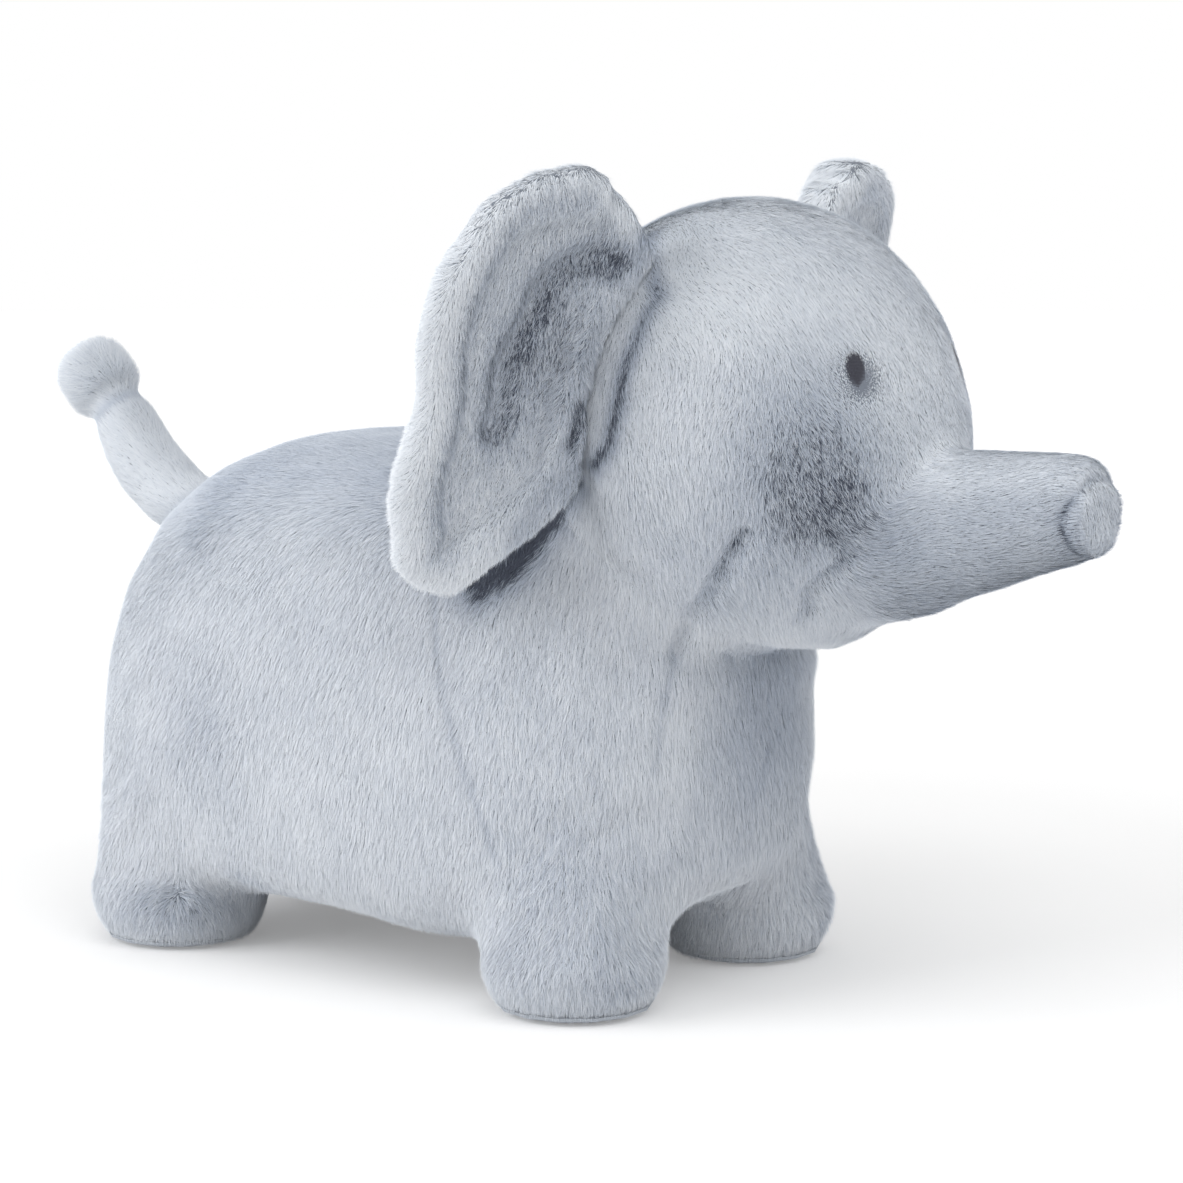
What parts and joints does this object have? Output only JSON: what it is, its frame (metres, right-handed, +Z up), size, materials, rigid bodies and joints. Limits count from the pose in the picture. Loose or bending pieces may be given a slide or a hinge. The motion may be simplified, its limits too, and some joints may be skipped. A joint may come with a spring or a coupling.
{
  "type": "ride-on hopper",
  "caption": "Soft ride-on hopper shaped like an elephant: a fur-cloth cover zipped round an air bladder, with grab ears, a trunk and a tail.",
  "frame": {"origin": "middle of the base, on the floor under the soles", "axes": "+X towards the trunk, +Y to the animal's left, +Z up"},
  "size_m": [0.6472, 0.361, 0.4024],
  "materials": {
    "plush_pile": "soft blue-grey fur pile",
    "short_pile": "shorter, darker blue-grey pile",
    "sole_cloth": "woven grey sole cloth",
    "stuffing": "white polyester fill",
    "bladder_vinyl": "satin welded vinyl",
    "eye_thread": "dark satin-stitch thread",
    "zipper_tape": "woven tape with moulded teeth",
    "zipper_metal": "satin metal",
    "valve_plastic": "soft white plastic"
  },
  "bodies": {
    "feet": {"leg_cover_front_left": "plush_pile", "leg_cover_front_right": "plush_pile", "leg_cover_rear_left": "plush_pile", "leg_cover_rear_right": "plush_pile", "sole_front_left": "sole_cloth", "sole_front_right": "sole_cloth", "sole_rear_left": "sole_cloth", "sole_rear_right": "sole_cloth"},
    "torso": {"body_cover": "plush_pile", "bladder": "bladder_vinyl", "valve_seat": "valve_plastic", "zipper_tape_left": "zipper_tape", "zipper_tape_right": "zipper_tape", "zipper_front_stop": "zipper_metal", "zipper_rear_stop": "zipper_metal", "head_cover": "plush_pile", "head_fill": "stuffing", "eye_left": "eye_thread", "eye_right": "eye_thread"},
    "left_ear": {"ear_back_left": "plush_pile", "ear_front_left": "short_pile", "ear_fill_left": "stuffing"},
    "right_ear": {"ear_back_right": "plush_pile", "ear_front_right": "short_pile", "ear_fill_right": "stuffing"},
    "trunk": {"trunk_cover": "plush_pile", "trunk_fill": "stuffing", "trunk_tip": "short_pile"},
    "tail": {"tail_cover": "plush_pile", "tail_fill": "stuffing", "tail_tuft": "plush_pile"},
    "slider": {"zipper_slider": "zipper_metal"},
    "pull": {"zipper_pull": "zipper_metal"},
    "plug": {"valve_plug": "valve_plastic"}
  },
  "joints": [
    {"name": "bounce", "type": "slide", "parent": "feet", "child": "torso", "axis": [0, 0, -1], "range_m": [0, 0.018], "stiffness_N_per_m": 10000, "springref_m": -0.003, "deforming": ["leg_cover_front_left", "leg_cover_front_right", "leg_cover_rear_left", "leg_cover_rear_right", "bladder"]},
    {"name": "left_ear_flap", "type": "hinge", "parent": "torso", "child": "left_ear", "pos_m": [0.11982, 0.102, 0.258], "axis": [-0.0425, 0.3057, -0.9512], "range_deg": [-12, 20], "stiffness_Nm_per_rad": 1.5},
    {"name": "right_ear_flap", "type": "hinge", "parent": "torso", "child": "right_ear", "pos_m": [0.11982, -0.102, 0.258], "axis": [0.0425, 0.3057, 0.9512], "range_deg": [-12, 20], "stiffness_Nm_per_rad": 1.5},
    {"name": "trunk_nod", "type": "hinge", "parent": "torso", "child": "trunk", "pos_m": [0.21782, 0, 0.2345], "axis": [0, -1, 0], "range_deg": [-10, 10], "stiffness_Nm_per_rad": 6, "springref_deg": 0.57},
    {"name": "tail_wag", "type": "hinge", "parent": "torso", "child": "tail", "pos_m": [-0.21869, 0, 0.19956], "axis": [0, 1, 0], "range_deg": [-18, 18], "stiffness_Nm_per_rad": 1.2, "springref_deg": 0.29},
    {"name": "zip", "type": "slide", "parent": "torso", "child": "slider", "axis": [-1, 0, 0], "range_m": [0, 0.138]},
    {"name": "pull_swing", "type": "hinge", "parent": "slider", "child": "pull", "pos_m": [0.01522, 0, 0.03013], "axis": [0, 1, 0], "range_deg": [-80, 80]},
    {"name": "plug_out", "type": "slide", "parent": "torso", "child": "plug", "axis": [0, 0, -1], "range_m": [0, 0.011]}
  ]
}
